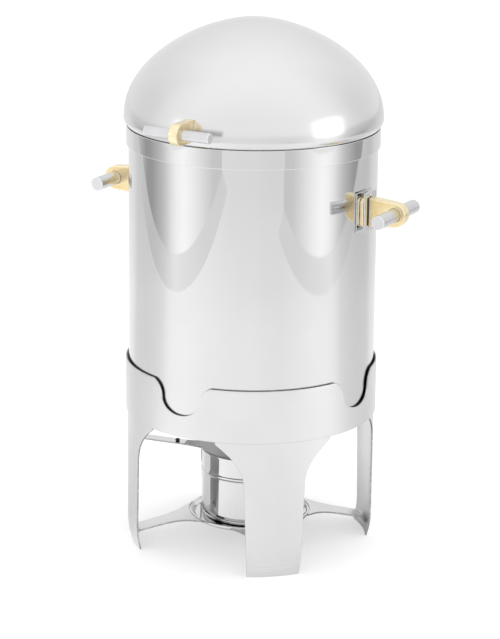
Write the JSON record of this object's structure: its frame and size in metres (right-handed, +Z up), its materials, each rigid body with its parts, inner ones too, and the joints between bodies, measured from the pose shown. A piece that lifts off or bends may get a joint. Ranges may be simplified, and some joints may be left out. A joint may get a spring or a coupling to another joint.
{
  "type": "round soup chafer",
  "caption": "Round soup chafer: tall water jacket with soup pan, hinged dome cover, bar handles, and a legged stand that holds a fuel cup with a swinging damper lid.",
  "frame": {"origin": "on the vertical axis of the round body, at floor level under the feet", "axes": "+Z up; -Y is the front, where the cover's handle is; the side handles are at +X and -X; the cover's hinge is at +Y"},
  "size_m": [0.396, 0.3672, 0.6279],
  "materials": {
    "polished_steel": "mirror polished stainless steel",
    "dome_steel": "soft polished stainless steel, near mirror",
    "satin_steel": "satin stainless steel sheet",
    "satin_bar": "fine turned satin stainless steel",
    "brass": "pale polished brass plate",
    "black_gasket": "dark heat-resisting gasket",
    "black_knob": "black heat-resisting plastic"
  },
  "bodies": {
    "stand": {"stand_ring": "satin_steel", "jacket_shelf": "satin_steel", "leg_1": "satin_steel", "leg_2": "satin_steel", "leg_3": "satin_steel", "leg_4": "satin_steel", "tray_arm_1": "satin_steel", "tray_arm_2": "satin_steel", "tray_arm_3": "satin_steel", "tray_arm_4": "satin_steel", "burner_tray": "polished_steel"},
    "vessel": {"water_jacket": "polished_steel", "jacket_collar": "polished_steel", "soup_pan": "satin_steel", "right_mount_plate": "polished_steel", "right_spacer_block": "brass", "right_clamp_plate": "polished_steel", "right_gasket": "black_gasket", "right_bracket": "brass", "right_bar": "satin_bar", "right_screw_upper": "polished_steel", "right_screw_lower": "polished_steel", "left_mount_plate": "polished_steel", "left_spacer_block": "brass", "left_clamp_plate": "polished_steel", "left_gasket": "black_gasket", "left_bracket": "brass", "left_bar": "satin_bar", "left_screw_upper": "polished_steel", "left_screw_lower": "polished_steel", "hinge_leaf_jacket": "polished_steel", "hinge_pin": "polished_steel", "collar_rivet_right": "polished_steel", "collar_rivet_left": "polished_steel"},
    "cover": {"dome_cover": "dome_steel", "cover_skirt": "satin_steel", "cover_handle_base": "brass", "cover_bracket": "brass", "cover_bar": "satin_bar", "cover_screw_upper": "polished_steel", "cover_screw_lower": "polished_steel", "hinge_leaf_cover": "polished_steel", "cover_rivet_right": "polished_steel", "cover_rivet_left": "polished_steel"},
    "fuel_holder": {"fuel_cup": "polished_steel", "damper_lug": "polished_steel", "damper_rivet": "polished_steel"},
    "damper": {"damper_lid": "polished_steel", "damper_knob": "black_knob"}
  },
  "joints": [
    {"name": "vessel_lift", "type": "slide", "parent": "stand", "child": "vessel", "axis": [0, 0, 1], "range_m": [0, 0.12]},
    {"name": "cover_hinge", "type": "hinge", "parent": "vessel", "child": "cover", "pos_m": [0, 0.171, 0.507], "axis": [-1, 0, 0], "range_deg": [0, 95]},
    {"name": "holder_lift", "type": "slide", "parent": "stand", "child": "fuel_holder", "axis": [0, 0, 1], "range_m": [0, 0.04]},
    {"name": "damper_swing", "type": "hinge", "parent": "fuel_holder", "child": "damper", "pos_m": [-0.00609, 0.04963, 0.111], "axis": [0, 0, 1], "range_deg": [0, 90]}
  ]
}
